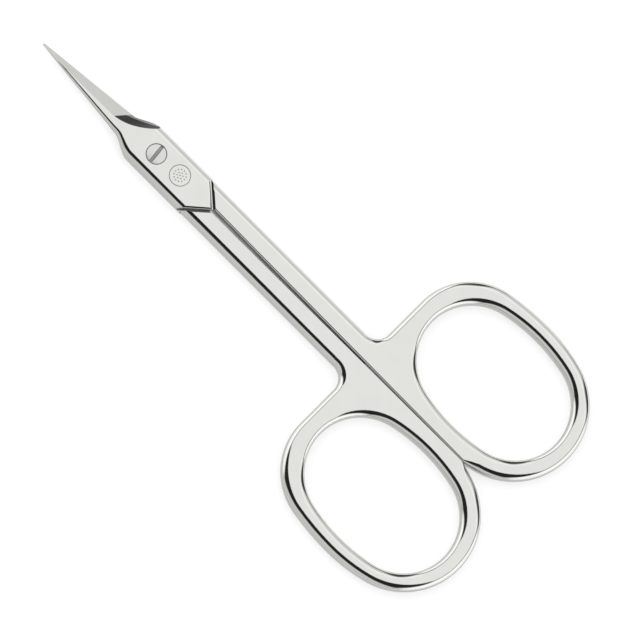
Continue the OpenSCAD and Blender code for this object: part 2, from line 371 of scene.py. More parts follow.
@dataclass
class Solid:
    """A closed mesh in millimetres that other solids are cut from or joined to."""

    name: str
    mesh: bpy.types.Mesh

    @classmethod
    def from_faces(cls, name: str, points: Sequence[Point], faces: Iterable[Sequence[int]]) -> "Solid":
        """Makes a solid from points and faces.

        Args:
            name: the solid's name.
            points: its corners.
            faces: the corners' numbers, in either direction.

        Returns:
            The solid, with its normals turned outwards.
        """
        mesh = bpy.data.meshes.new(name)
        mesh.from_pydata(list(points), [], [tuple(f) for f in faces])
        work = bmesh.new()
        work.from_mesh(mesh)
        bmesh.ops.recalc_face_normals(work, faces=work.faces)
        work.to_mesh(mesh)
        work.free()
        return cls(name, mesh)

    @classmethod
    def loft(cls, name: str, sections: Sequence[Sequence[Point]]) -> "Solid":
        """Joins closed sections in order, with a cap at each end.

        Args:
            name: the solid's name.
            sections: rows of points, all of the same count.

        Returns:
            The solid.
        """
        count = len(sections[0])
        last = (len(sections) - 1) * count
        faces = quads(len(sections), count) + [tuple(range(count)), tuple(range(last, last + count))]
        return cls.from_faces(name, [p for s in sections for p in s], faces)

    @classmethod
    def bar(cls, name: str, profile: Sequence[Pair], start: float, end: float) -> "Solid":
        """Draws a closed profile of y and z out along x, from start to end."""
        return cls.loft(name, [[(x, y, z) for y, z in profile] for x in (start, end)])

    @classmethod
    def turned(cls, name: str, profile: Sequence[Pair], sides: int = 128) -> "Solid":
        """Turns a profile of radius and height about the z axis.

        Args:
            name: the solid's name.
            profile: points from the axis at one end to the axis at the other.
            sides: steps round the axis.

        Returns:
            The turned solid.
        """
        rows = profile[1:-1]
        points = [(0.0, 0.0, profile[0][1])]
        points += [(x, y, z) for radius, z in rows for x, y in around(radius, sides)]
        points.append((0.0, 0.0, profile[-1][1]))
        end = len(points) - 1
        faces = fan(0, 1, sides) + quads(len(rows), sides, first=1)
        faces += [(*edge, end) for _, *edge in fan(end, end - sides, sides)]
        return cls.from_faces(name, points, faces)

    def placed(self, *moves: Matrix) -> "Solid":
        """Moves the solid by each matrix, the last one first."""
        self.mesh.transform(reduce(lambda whole, move: whole @ move, moves))
        return self

    def of(
        self,
        finish: bpy.types.Material,
        other: bpy.types.Material | None = None,
        where: Callable[[bpy.types.MeshPolygon], bool] | None = None,
    ) -> "Solid":
        """Gives the faces their finish. A tool's finish goes onto the faces that it cuts.

        Args:
            finish: the finish of all faces.
            other: the finish of chosen faces.
            where: tells whether a face has the other finish.

        Returns:
            This solid.
        """
        self.mesh.materials.clear()
        self.mesh.materials.append(finish)
        if other and where:
            self.mesh.materials.append(other)
            for face in self.mesh.polygons:
                face.material_index = int(where(face))
        return self

    def work(self, how: Cut, *tools: "Solid") -> "Solid":
        """Cuts, keeps or joins with each tool in turn.

        Args:
            how: what the tools do.
            *tools: solids that are used up.

        Returns:
            This solid with its new mesh.
        """
        blank = put(self.name, self.mesh)
        helpers = [put(tool.name, tool.mesh) for tool in tools]
        for helper in helpers:
            step = blank.modifiers.new(helper.name, "BOOLEAN")
            step.operation = how.value
            step.solver = "EXACT"
            step.material_mode = "TRANSFER"
            step.object = helper
        bpy.context.view_layer.update()
        shaped = blank.evaluated_get(bpy.context.evaluated_depsgraph_get())
        self.mesh = bpy.data.meshes.new_from_object(shaped)
        for item in (blank, *helpers):
            bpy.data.objects.remove(item)
        self.clean()
        return self

    def clean(self) -> None:
        """Merges corners that a cut has left on top of each other."""
        work = bmesh.new()
        work.from_mesh(self.mesh)
        bmesh.ops.remove_doubles(work, verts=work.verts, dist=WELD)
        bmesh.ops.dissolve_degenerate(work, edges=work.edges, dist=WELD / 2)
        work.to_mesh(self.mesh)
        work.free()

    def finished(self, place: Matrix) -> bpy.types.Object:
        """Puts the solid in the frame as a shaded object.

        Args:
            place: where the solid stands, in millimetres.

        Returns:
            The object, in metres.
        """
        self.placed(Matrix.Scale(MM, 4), place)
        self.mesh.shade_smooth()
        self.mesh.set_sharp_from_angle(angle=radians(CREASE))
        piece = put(self.name, self.mesh)
        level = piece.modifiers.new("level_faces", "WEIGHTED_NORMAL")
        level.keep_sharp = True
        return piece


ROLL_ANGLE = radians(35)  # where a belt's wide roll turns into the tight one
ROLL_SHARE = 0.7  # the wide roll's part of the whole inset


def belt_edge(inset: float, count: int) -> list[Pair]:
    """Profile that a belt leaves on an edge: a wide roll off the face, then a tighter one into the side.

    Args:
        inset: how far from the side the roll begins.
        count: steps in each of the two arcs.

    Returns:
        Points of distance from the side and drop below the face, from the face to the side.
    """
    wide = ROLL_SHARE * inset / sin(ROLL_ANGLE)
    tight = (1 - ROLL_SHARE) * inset / (1 - sin(ROLL_ANGLE))
    drop = wide * (1 - cos(ROLL_ANGLE))
    points = [(inset - wide * sin(ROLL_ANGLE * u), wide * (1 - cos(ROLL_ANGLE * u))) for u in steps(count)]
    for u in steps(count)[1:]:
        angle = ROLL_ANGLE + (pi / 2 - ROLL_ANGLE) * u
        points.append((tight * (1 - sin(angle)), drop + tight * (cos(ROLL_ANGLE) - cos(angle))))
    return points


UPRIGHT = 0.1  # a wall's normal has less than this along z


def is_wall(face: bpy.types.MeshPolygon) -> bool:
    """Whether a face stands upright."""
    return abs(face.normal.z) < UPRIGHT


@dataclass(frozen=True)
class Arc:
    """A stretch of an outline about the centre x, y, between two directions of its outward normal in degrees."""

    first: float
    last: float
    x: float
    y: float
    radius: float


def side_radius(reach: float, drop: float, end: float) -> float:
    """Radius of a side arc that runs smoothly into an end arc.

    Args:
        reach: distance across from the end arc's centre to the side.
        drop: distance along from the end arc's centre to the side's middle.
        end: radius of the end arc.

    Returns:
        The side arc's radius.
    """
    return (reach**2 + drop**2 - end**2) / (2 * (reach - end))


def on_outline(arcs: Sequence[Arc], angle: float) -> Pair:
    """The point of the outline where its normal has this angle."""
    arc = next(a for a in arcs if a.last <= angle <= a.first)
    across, along = heading(angle)
    return arc.x + arc.radius * across, arc.y + arc.radius * along


# The halves


@dataclass
class Handle:
    """Shank and finger ring of one half, as one closed loft round the finger hole.

    Attributes:
        shank_out: distance of the shank's outer side from the centre line.
        shank_gap: width of the parting between the shanks at parting_top.
        parting_round: how far in the parting's front edge begins to roll, and parting_back its back edge.
        outer_band: width of the metal beside the hole, as are the other bands.
        bottom_share: radius of the outline's bottom as a share of half the ring's width, as is corner_share.
        stop_flat: depth ground off each ring where the two meet.
        edge_inset: how far in the other edges begin to roll.
        mouth_angle: direction of the hole's normal where the parting's sections end.
        crotch_angle: the same where the crotch's sections begin, and corner_angle where they end.
        steep: the least part of the normal that looks sideways on the parting's wall, which lies within reach.
    """

    thickness: float = 2.4
    shank_out: float = 3.08
    shank_gap: float = 0.56
    parting_round: float = 0.3
    parting_back: float = 0.1
    crotch_radius: float = 2.3
    shank_top: float = -5.6
    parting_top: float = -10.04
    bottom: float = -68.6
    hole_width: float = 16.64
    hole_height: float = 23.5
    hole_end_share: float = 0.95
    outer_band: float = 2.52
    inner_band: float = 2.63
    bottom_band: float = 2.65
    top_band: float = 2.95
    bottom_share: float = 0.955
    corner_share: float = 0.856
    side_bulge: float = 0.44
    stop_flat: float = 0.4
    stop_gap: float = 0.06
    edge_inset: float = 1.1
    round_steps: int = 6
    ring_step: float = 2.5
    crotch_steps: int = 32
    straight_steps: int = 6
    mouth_angle: float = 170.0
    crotch_angle: float = 169.0
    corner_angle: float = 112.0
    steep: float = 0.98
    reach: float = 1.0
    hole: list[Arc] = field(init=False)
    ring: list[Arc] = field(init=False)

    def __post_init__(self) -> None:
        """Works out the two outlines of the ring."""
        self.half = self.thickness / 2
        hole_x = self.stop_gap / 2 + self.inner_band + self.hole_width / 2
        self.hole_y = self.bottom + self.bottom_band + self.hole_height / 2
        self.left = self.stop_gap / 2 - self.stop_flat
        right = hole_x + self.hole_width / 2 + self.outer_band
        self.top = self.hole_y + self.hole_height / 2 + self.top_band
        self.hole = self._hole_arcs(hole_x, self.hole_width / 2)
        self.ring = self._ring_arcs(right, (right - self.left) / 2)

    def _hole_arcs(self, x: float, half_width: float) -> list[Arc]:
        """Arcs of the finger hole, from its left over the top and round to the left again.

        Args:
            x: where the hole's middle is.
            half_width: half the hole's width.

        Returns:
            The arcs.
        """
        end = self.hole_end_share * half_width
        drop = self.hole_height / 2 - end
        side = side_radius(half_width, drop, end)
        bend = degrees(atan2(drop, side - half_width))
        inset = half_width - side
        return [
            Arc(180, 180 - bend, x - inset, self.hole_y, side),
            Arc(180 - bend, bend, x, self.hole_y + drop, end),
            Arc(bend, -bend, x + inset, self.hole_y, side),
            Arc(-bend, bend - 180, x, self.hole_y - drop, end),
            Arc(bend - 180, -180, x - inset, self.hole_y, side),
        ]

    def _ring_arcs(self, right: float, half_width: float) -> list[Arc]:
        """Arcs of the forged outline, from the crown round by the right and the bottom to the left.

        Args:
            right: where the outer side is.
            half_width: half the ring's width.

        Returns:
            The arcs.
        """
        end, corner = self.bottom_share * half_width, self.corner_share * half_width
        end_x, end_y = (self.left + right) / 2, self.bottom + end
        self.crown_x, corner_y = right - corner - self.side_bulge, self.top - corner
        upper = side_radius(right - self.crown_x, corner_y - self.hole_y, corner)
        upper_bend = degrees(atan2(corner_y - self.hole_y, upper - right + self.crown_x))
        side = side_radius(right - end_x, self.hole_y - end_y, end)
        bend = degrees(atan2(self.hole_y - end_y, side - right + end_x))
        self.left_bend = bend
        return [
            Arc(90, upper_bend, self.crown_x, corner_y, corner),
            Arc(upper_bend, 0, right - upper, self.hole_y, upper),
            Arc(0, -bend, right - side, self.hole_y, side),
            Arc(-bend, bend - 180, end_x, end_y, end),
            Arc(bend - 180, -180, self.left + side, self.hole_y, side),
        ]

    def parting(self, y: float) -> float:
        """Distance of the inner side from the centre line at height y."""
        share = (y - self.hole_y) / (self.parting_top - self.hole_y)
        return self.stop_gap / 2 + (self.shank_gap - self.stop_gap) / 2 * share

    def is_parting(self, face: bpy.types.MeshPolygon) -> bool:
        """Whether a face is part of the shank's inner wall, which only a file reaches and which gets painted shade.
        """
        return face.normal.x < -self.steep and face.center.x < self.reach and face.center.y > self.top

    def rolls(self, share: float) -> Pair:
        """How far in an edge's front and back roll begin, from those of the parting at 0 to the full ones at 1."""
        front, back = (r + (self.edge_inset - r) * share for r in (self.parting_round, self.parting_back))
        return front, back

    def edge(self, x: float, y: float, inward: Pair, rolls: Pair) -> list[Point]:
        """Rounds the two corners of an edge.

        Args:
            x: where the edge stands.
            y: where the edge stands.
            inward: direction into the metal.
            rolls: how far in the front and the back corner's rounding begins.

        Returns:
            Points from the top face down to the bottom face.
        """
        front, back = (belt_edge(inset, self.round_steps) for inset in rolls)
        sides = [(depth, self.half - drop) for depth, drop in front]
        sides += [(depth, drop - self.half) for depth, drop in reversed(back)]
        return [(x + inward[0] * depth, y + inward[1] * depth, z) for depth, z in sides]

    def band(self, angle: float, x: float, y: float, inward: Pair, rolls: Pair) -> list[Point]:
        """Section of the ring, from the hole's edge at a normal angle to the outer edge at x, y.

        Args:
            angle: direction of the hole's normal, in degrees.
            x: where the outer edge stands.
            y: where the outer edge stands.
            inward: direction from the outer edge into the metal.
            rolls: how far in the outer edge's front and back rounding begin.

        Returns:
            The section's points, down at the hole and up at the outer edge.
        """
        inner = self.edge(*on_outline(self.hole, angle), heading(angle), self.rolls(1))
        return inner + self.edge(x, y, inward, rolls)[::-1]

    def ring_section(self, angle: float) -> list[Point]:
        """Section of the forged ring, ground off where it would cross the parting line.

        Args:
            angle: direction of the outline's normal, in degrees.

        Returns:
            The section's points.
        """
        x, y = on_outline(self.ring, angle)
        ground = self.parting(y)
        if angle < self.left_bend - 180 and x < ground:
            return self.band(angle, ground, y, (1, 0), self.rolls(0))
        across, along = heading(angle)
        return self.band(angle, x, y, (-across, -along), self.rolls(ease((x - ground) / self.stop_flat)))

    def crotch_sections(self) -> list[list[Point]]:
        """Sections round the crotch and along the ring's top to the crown.

        Returns:
            The sections, from the shank to the crown.
        """
        x, y = self.shank_out + self.crotch_radius, self.top + self.crotch_radius
        sections = []
        for share in steps(self.crotch_steps):
            inward = heading(180 + 90 * share)
            point = (x + self.crotch_radius * inward[0], y + self.crotch_radius * inward[1])
            angle = self.corner_angle + (self.crotch_angle - self.corner_angle) * (1 - share) ** 2
            sections.append(self.band(angle, *point, inward, self.rolls(1)))
        for share in steps(self.straight_steps)[1:]:
            angle = self.corner_angle - (self.corner_angle - 90) * share
            along = x + share * (self.crown_x - x)
            sections.append(self.band(angle, along, self.top, (0, -1), self.rolls(1)))
        return sections

    def build(self) -> Solid:
        """Lofts the ring, and the shank out of its open end.

        Returns:
            The closed solid.
        """
        turns = int((90 + 180) / self.ring_step)
        sections = [self.ring_section(90 - i * self.ring_step) for i in range(1, turns + 1)]
        crotch_y = self.top + self.crotch_radius
        for share in steps(self.straight_steps)[1:]:
            y = self.hole_y + share * (crotch_y - self.hole_y)
            angle = 180 - (180 - self.mouth_angle) * share
            sections.append(self.band(angle, self.parting(y), y, (1, 0), self.rolls(0)))
        mouth = len(sections) - 1
        sections += self.crotch_sections()
        points = [p for s in sections for p in s]
        count = len(sections[0])
        outer = range(mouth * count + count // 2, mouth * count + count - 1)
        faces = [face for n, face in enumerate(quads(len(sections), count, closed=True)) if n not in outer]
        lower = [mouth * count + k for k in range(count // 2, count)]
        lower += [(mouth + 1) * count + k for k in range(count - 1, count // 2 - 1, -1)]
        end = self.edge(self.parting(self.shank_top), self.shank_top, (1, 0), self.rolls(0))[::-1]
        end += self.edge(self.shank_out, self.shank_top, (-1, 0), self.rolls(1))
        upper = list(range(len(points), len(points) + len(end)))
        points += end
        for k in range(len(lower)):
            n = (k + 1) % len(lower)
            faces.append((lower[k], lower[n], upper[n], upper[k]))
        faces.append(tuple(upper))
        return Solid.from_faces("handle", points, faces)


@dataclass
class Blade:
    """Blade and joint plate of one half, with its flat lapped face at z = lap.

    Attributes:
        bevel: angle between the ground bevel and the lapped face, which meet at edge_thickness.
        heel_round: radius of the drum's run-out, which turns by heel_wall degrees.
        heel_start: where along the run-out the recess steel's painted shade begins.
        heel_skew: angle of the drum's axis from the long axis.
        heel_offset: where the drum's run-out begins, from the blade's root towards the plate.
        plate_front: distance of the plate's front end from the pivot, and vee of its V end's point.
        vee_angle: angle of each leg from the long axis, and vee_round the radius of its edge.
        free_angle: how far the free leg's edge rounds, and file_angle the other leg's, in degrees.
        file_chamfer: width of the file's chamfer, beside which its groove rises by file_groove.
        overlap: how far the plate reaches into the shank that it is joined to.
        spine_share: part of the blade's height that its edges' rolls take in, and side_share the plate's.
        far: how far tools reach beyond what they cut; deep, span and margin are the same below, along and above.
    """

    tip: float = 21.4
    tip_width: float = 0.28
    tip_thickness: float = 0.27
    root_width: float = 3.46
    root_thickness: float = 0.82
    shoulder_length: float = 3.6
    face_drop: float = 5.5
    bevel: float = 22.3
    edge_thickness: float = 0.06
    heel_round: float = 4.5
    heel_start: float = 0.18
    deep_slope: float = 0.63
    heel_wall: float = 65.0
    heel_skew: float = 49.0
    heel_offset: float = -0.45
    plate_width: float = 6.3
    plate_thickness: float = 1.4
    plate_front: float = 2.4
    vee: float = 10.04
    vee_angle: float = 42.0
    vee_round: float = 0.6
    free_angle: float = 38.0
    file_angle: float = 46.0
    file_chamfer: float = 0.15
    file_groove: float = 0.36
    overlap: float = 0.27
    lap: float = 0.015
    spine_share: float = 0.65
    side_share: float = 0.79
    widest_roll: float = 0.95
    round_steps: int = 6
    blade_steps: int = 24
    drop_steps: int = 36
    leg_steps: int = 8
    file_reach: float = 1.5
    file_start: float = -0.1
    hair: float = 0.01
    lift: float = 0.001
    far: float = 40.0
    deep: float = -3.0
    span: float = 30.0
    margin: float = 1.0
    drum_height: float = 4.0
    drum_bends: int = 48
    drum_slices: int = 60
    drum_start: float = -1.5
    drum_length: float = 6.0

    def __post_init__(self) -> None:
        """Works out the stations from the tip."""
        self.plate_s = self.tip - self.plate_front
        self.root_s = self.plate_s - self.shoulder_length
        self.drop_s = self.plate_s - self.face_drop
        self.slope = (self.root_width - self.tip_width) / 2 / self.root_s

    def straight(self, s: float) -> float:
        """Half the width of the straight blade at distance s from the tip."""
        return self.tip_width / 2 + self.slope * s

    def half_width(self, s: float) -> float:
        """Half the width of blade, shoulders and plate at distance s from the tip."""
        straight = self.straight(s)
        return straight + (self.plate_width / 2 - straight) * ease((s - self.root_s) / self.shoulder_length)

    def face(self, s: float) -> float:
        """Height of the front face at distance s from the tip."""
        share = min(1.0, s / self.drop_s)
        blade = self.tip_thickness + (self.root_thickness - self.tip_thickness) * share
        return blade + (self.plate_thickness - blade) * ease((s - self.drop_s) / self.face_drop)

    def section(self, s: float) -> list[Point]:
        """Section across the blade: a flat below, full rounds at the sides and a face between them.

        Args:
            s: distance from the tip.

        Returns:
            The section's points, from the right foot over the face to the left.
        """
        width, top = self.half_width(s), self.face(s)
        widened = ease((s - self.root_s) / self.shoulder_length)
        share = self.spine_share + (self.side_share - self.spine_share) * widened
        corner = belt_edge(min(share * top, self.widest_roll * width), self.round_steps)
        right = [(width, self.lap)] + [(width - depth, top - drop) for depth, drop in reversed(corner)]
        left = [(-x, z) for x, z in reversed(right)]
        return [(x, self.tip - s, z) for x, z in right + left]

    def loft(self) -> Solid:
        """Lofts the blade and plate along the long axis, past the V end.

        Returns:
            The closed solid.
        """
        stations = [self.drop_s * share for share in steps(self.blade_steps)]
        stations += [self.drop_s + self.face_drop * share for share in steps(self.drop_steps)[1:]]
        stations.append(self.tip + self.vee + self.margin)
        return Solid.loft("half", [self.section(s) for s in stations])

    def leg(self, side: int) -> Matrix:
        """Place of one leg of the V: x along it, and y from its edge on the face towards the blade."""
        return shift(0, -self.vee) @ turn(side * (90 - self.vee_angle), "Z")

    def edge_of_leg(self, angle: float) -> list[Pair]:
        """Profile of a leg's rounded edge, from the face down to where its slope is this angle."""
        bends = [radians(angle) * u for u in steps(self.leg_steps)]
        return [(-self.vee_round * sin(a), self.plate_thickness - self.vee_round * (1 - cos(a))) for a in bends]

    def free_wall(self) -> float:
        """Distance of the free leg's wall from the leg's edge on the face."""
        return self.edge_of_leg(self.free_angle)[-1][0]

    def file_foot(self) -> Pair:
        """Lowest point of the file's cut: distance from the leg's edge on the face, and height."""
        x, z = self.edge_of_leg(self.file_angle)[-1]
        return x - self.file_chamfer, z - self.file_chamfer * tan(radians(self.file_angle))

    def vee_end(self, side: int, steels: Steels) -> Solid:
        """One leg of the V end, as the block of metal that stays on the blade's side of it.

        Args:
            side: 1 for the right leg, which runs into the shank, and -1 for the left one, which ends free.
            steels: the materials.

        Returns:
            The block.
        """
        over = self.plate_thickness + self.margin
        wall, edge = self.file_foot()[0] - self.overlap, []
        if side < 0:
            wall, edge = self.free_wall(), [*reversed(self.edge_of_leg(self.free_angle)), (0.0, over)]
        profile = [(self.far, self.deep), (wall, self.deep), *(edge or [(wall, over)]), (self.far, over)]
        block = Solid.bar("vee", profile, -self.span, self.span)
        # The V end's upright walls get the recess steel's painted shade.
        return block.of(steels.polished, steels.recess_shade, is_wall).placed(self.leg(side))

    def file_cut(self, shank_face: float) -> Solid:
        """The file that cuts the right leg's chamfer and a shallow groove into the shank beside it.

        Args:
            shank_face: height of the shank's face.

        Returns:
            The cutter.
        """
        foot, low = self.file_foot()
        face, over = self.plate_thickness + self.lift, self.plate_thickness + self.margin
        far = foot - self.file_reach * self.file_groove
        profile = [(self.hair, over), (self.hair, face), *self.edge_of_leg(self.file_angle)[1:]]
        profile += [(foot, low), (far, low + self.file_reach * (shank_face - low)), (far, over)]
        return Solid.bar("file", profile, self.file_start - self.vee_round, self.span).placed(self.leg(1))

    def drum(self, steels: Steels) -> Solid:
        """The grinding drum as it runs out of the bevel: tangent to the bevel's plane, then round along the heel.

        Args:
            steels: the materials. Its run-out gets painted shade: the recess steel, and where the drum cuts deep the
                near-black heel steel.

        Returns:
            The cutter.
        """
        heel, height, wall = self.root_s + self.heel_offset, self.drum_height, radians(self.heel_wall)
        bends = [wall * u for u in steps(self.drum_bends)]
        rim = [(self.heel_round * sin(bend), self.heel_round * (1 - cos(bend))) for bend in bends]
        flare = rim[-1][0] + (height - rim[-1][1]) / tan(wall)
        profile = [(-self.far, 0.0), *rim, (flare, height), (-self.far, height)]
        slices = [self.drum_length * share + self.drum_start for share in steps(self.drum_slices)]
        rows = [[(x, along, z) for x, z in profile] for along in (-self.span, *slices, self.span)]
        drum = Solid.loft("drum", rows).of(steels.polished)
        for other in (steels.recess_shade, steels.heel_shade):
            drum.mesh.materials.append(other)
        # The run-out's faces get painted shade, darkest where the cut is deep.
        for face in drum.mesh.polygons:
            if face.center.x > self.heel_start and face.normal.z < -UPRIGHT:
                deep = face.center.x - self.deep_slope * face.center.y > self.deep_slope
                face.material_index = 2 if deep else 1
        return drum.placed(
            shift(self.straight(heel), self.tip - heel, self.edge_thickness),
            turn(degrees(atan(self.slope)), "Z"),
            turn(self.bevel, "Y"),
            turn(180 + self.heel_skew, "Z"),
        )

    def build(self, steels: Steels) -> Solid:
        """The blade and plate with their V end and ground bevel."""
        ends = [self.vee_end(side, steels) for side in (1, -1)]
        return self.loft().of(steels.polished).work(Cut.KEEP, *ends).work(Cut.OFF, self.drum(steels))


@dataclass
class Stamp:
    """Plain round mark pressed into the plate: a fine circle with a rosette of dots.

    Attributes:
        rings: radius and count of the dots on each circle.
        over: how far the tools stand out of the face.
    """

    y: float = -4.3
    x: float = 0.2
    radius: float = 1.46
    groove: float = 0.15
    depth: float = 0.05
    dot: float = 0.14
    rings: tuple[tuple[float, int], ...] = ((0.0, 1), (0.42, 6), (0.84, 12))
    over: float = 0.02
    round_steps: int = 96
    dot_sides: int = 12

    def cutters(self, face: float) -> list[Solid]:
        """Cutters for a mark on a face at this height.

        Args:
            face: height of the plate's front face.

        Returns:
            The groove's ring and the joined dots.
        """
        half, high = self.groove / 2, face + self.over
        wall = [(self.radius, face - self.depth), (self.radius + half, high), (self.radius - half, high)]
        circles = [around(radius, self.round_steps) for radius, _ in wall]
        points = [(*circle[i], z) for i in range(self.round_steps) for circle, (_, z) in zip(circles, wall)]
        groove = Solid.from_faces("groove", points, quads(self.round_steps, len(wall), closed=True))
        return [groove.placed(shift(self.x, self.y)), self._dots(high)]

    def _dots(self, high: float) -> Solid:
        """All the dots' cones in one mesh.

        Args:
            high: height of the cones' open ends.

        Returns:
            The cutter.
        """
        sides, points, faces = self.dot_sides, [], []
        for x, y in (spot for radius, count in self.rings for spot in around(radius, count, self.x, self.y)):
            first = len(points)
            points.append((x, y, high - self.depth - self.over))
            points += [(*corner, high) for corner in around(self.dot, sides, x, y)]
            faces += fan(first, first + 1, sides)
            faces.append(tuple(range(first + sides, first, -1)))
        return Solid.from_faces("dots", points, faces)


@dataclass
class Half:
    """One forged half: blade, plate, shank and ring in one piece.

    Attributes:
        vee_gap: room between the shank's shoulder and the other half's V end.
        overlap: how far the shoulder's room reaches past the lapped face.
        screw: diameter of the screw's shank, and head of its head, which is sunk by seat.
        past: how far the tools for the holes reach out of the plates.
    """

    steels: Steels
    handle: Handle = field(default_factory=Handle)
    blade: Blade = field(default_factory=Blade)
    vee_gap: float = 0.35
    shoulder_round: float = 0.2
    shoulder_steps: int = 5
    overlap: float = 0.3
    screw: float = 1.6
    head: float = 2.8
    seat: float = 0.7
    seat_ease: float = 0.05
    clearance: float = 0.03
    tap_clearance: float = 0.01
    far: float = 60.0
    deep: float = -6.0
    past: Pair = (1.0, 3.0)

    def shoulder(self) -> Solid:
        """The room for the other half's plate under this half's shank.

        Returns:
            The cutter.
        """
        blade, low = self.blade, -self.handle.half
        wall, top = blade.free_wall() - self.vee_gap, blade.lap + self.overlap
        corner = belt_edge(self.shoulder_round, self.shoulder_steps)
        edge = [(wall - depth, low + drop) for depth, drop in corner]
        profile = [(self.far, top), (wall, top), *reversed(edge), (edge[0][0], self.deep), (self.far, self.deep)]
        block = Solid.bar("shoulder", profile, -self.far, self.far)
        # The shoulder's upright walls get the recess steel's painted shade.
        return block.of(self.steels.polished, self.steels.recess_shade, is_wall).placed(blade.leg(1))

    def blank(self) -> Solid:
        """The half without its holes.

        Returns:
            The closed solid.
        """
        steels = self.steels
        # The parting's inner wall gets the recess steel's painted shade.
        handle = self.handle.build().of(steels.polished, steels.recess_shade, self.handle.is_parting)
        handle.work(Cut.OFF, self.shoulder())
        file_cut = self.blade.file_cut(self.handle.half).of(steels.polished)
        return self.blade.build(steels).work(Cut.JOIN, handle).work(Cut.OFF, file_cut)

    def front(self) -> Solid:
        """The front half, with the screw head's seat and the mark.

        Returns:
            The closed solid.
        """
        top, below = self.blade.plate_thickness, -self.past[0]
        floor, over = top - self.seat, top + self.seat_ease
        bore, rim = self.screw / 2 + self.clearance, self.head / 2 + self.clearance
        profile = [(0, below), (bore, below), (bore, floor), (rim, floor), (rim, top - self.seat_ease)]
        seat = Solid.turned("seat", [*profile, (rim + 2 * self.seat_ease, over), (0, over)])
        # The screw head's seat and the mark's groove and dots get the recess steel's painted shade.
        recesses = [tool.of(self.steels.recess_shade) for tool in (seat, *Stamp().cutters(top))]
        half = self.blank().work(Cut.OFF, *recesses)
        half.name = "front_half_steel"
        return half

    def rear(self) -> Solid:
        """The rear half, turned half round about the long axis, with the screw's tapped hole.

        Returns:
            The closed solid.
        """
        bore, past = self.screw / 2 + self.tap_clearance, self.past[1]
        hole = Solid.turned("hole", [(0, -past), (bore, -past), (bore, past), (0, past)])
        # The tapped hole gets the recess steel's painted shade.
        half = self.blank().placed(turn(180, "Y")).work(Cut.OFF, hole.of(self.steels.recess_shade))
        half.name = "rear_half_steel"
        return half


@dataclass
class PivotScrew:
    """Slotted screw whose head sinks into the front plate and whose end is ground flush behind.

    Attributes:
        shank: radius of the shank, and rim of the head.
        head: height of the head's side and seat.
        crown: how far the head's middle stands out, from where it drops by crown_drop to the rim.
        slot_turn: angle of the slot from the x axis, in degrees.
        slot_ease: how far the slot's edges are eased, from just below the head's rim to slot_over above it.
    """

    steels: Steels
    shank: float = 0.8
    rim: float = 1.4
    plate: float = 1.4
    head: float = 0.685
    crown: float = 0.045
    crown_drop: float = 0.085
    slot_width: float = 0.45
    slot_depth: float = 0.32
    slot_turn: float = 6.0
    corner: float = 0.06
    slot_ease: float = 0.05
    slot_over: float = 0.06
    tool_height: float = 1.0
    span: float = 3.0
    dome_steps: int = 12

    def build(self) -> Solid:
        """Turns the screw and cuts its slot.

        Returns:
            The closed solid.
        """
        under = self.plate - self.head
        edge = self.rim - self.corner
        dome = [(edge * u, self.plate + self.crown - self.crown_drop * u * u) for u in steps(self.dome_steps)]
        profile = [(0, -self.plate), (self.shank - self.corner, -self.plate)]
        profile += [(self.shank, -self.plate + self.corner), (self.shank, under), (self.rim, under)]
        profile += [(self.rim, dome[-1][1] - self.corner), *reversed(dome)]
        screw = Solid.turned("pivot_screw_steel", profile).of(self.steels.screw)
        half, flare = self.slot_width / 2, self.slot_width / 2 + self.slot_ease
        side = [(half, -self.slot_depth), (half, -self.slot_ease), (flare, self.slot_over), (flare, self.tool_height)]
        section = [(-side[0][0], side[0][1]), *side, *((-y, z) for y, z in reversed(side[1:]))]
        slot = Solid.bar("slot", [(y, self.plate + z) for y, z in section], -self.span, self.span)
        # The slot gets the recess steel's painted shade.
        return screw.work(Cut.OFF, slot.placed(turn(self.slot_turn, "Z")).of(self.steels.recess_shade))


# The stage


@dataclass(frozen=True)
class Patch:
    """A patch of the tent with soft borders.

    Attributes:
        change: what the patch adds to the light, or for a dark patch the share that it takes away.
        borders: the axis that each border crosses, and where on it the patch begins and where it is full.
    """

    change: float
    borders: tuple[tuple[str, float, float], ...]

    def mask(self, axes: dict[str, Wire]) -> Wire:
        """1 inside the patch and 0 outside, from the direction's values by axis."""
        return reduce(mul, [axes[axis].rise(start, end) for axis, start, end in self.borders])


OPENING = Patch(0.98, (("x", -0.66, -0.58), ("x", -0.02, -0.06), ("side", 0.72, 0.60), ("z", 0.2, 0.4)))
SEAM = Patch(0.9, (("bow", 0.05, 0.02), ("x", -0.5, -0.3), ("z", 0.02, 0.1)))
CORNER = Patch(0.9, (("x", 0.6, 0.72), ("side", 0.28, 0.4), ("side", 0.72, 0.6), ("z", 0.0, 0.04)))
RIM = Patch(0.7, (("x", 0.6, 0.72), ("side", 0.08, 0.16), ("z", 0.3, 0.2), ("z", -0.1, 0.0)))
WALLS = (
    Patch(0.12, (("x", 0.45, 0.55),)),
    Patch(0.3, (("side", 0.74, 0.8),)),
    Patch(-0.28, (("x", -0.58, -0.66),)),
    Patch(-0.34, (("x", 0.72, 0.78),)),
    Patch(-0.24, (("z", 0.35, 0.05),)),
)


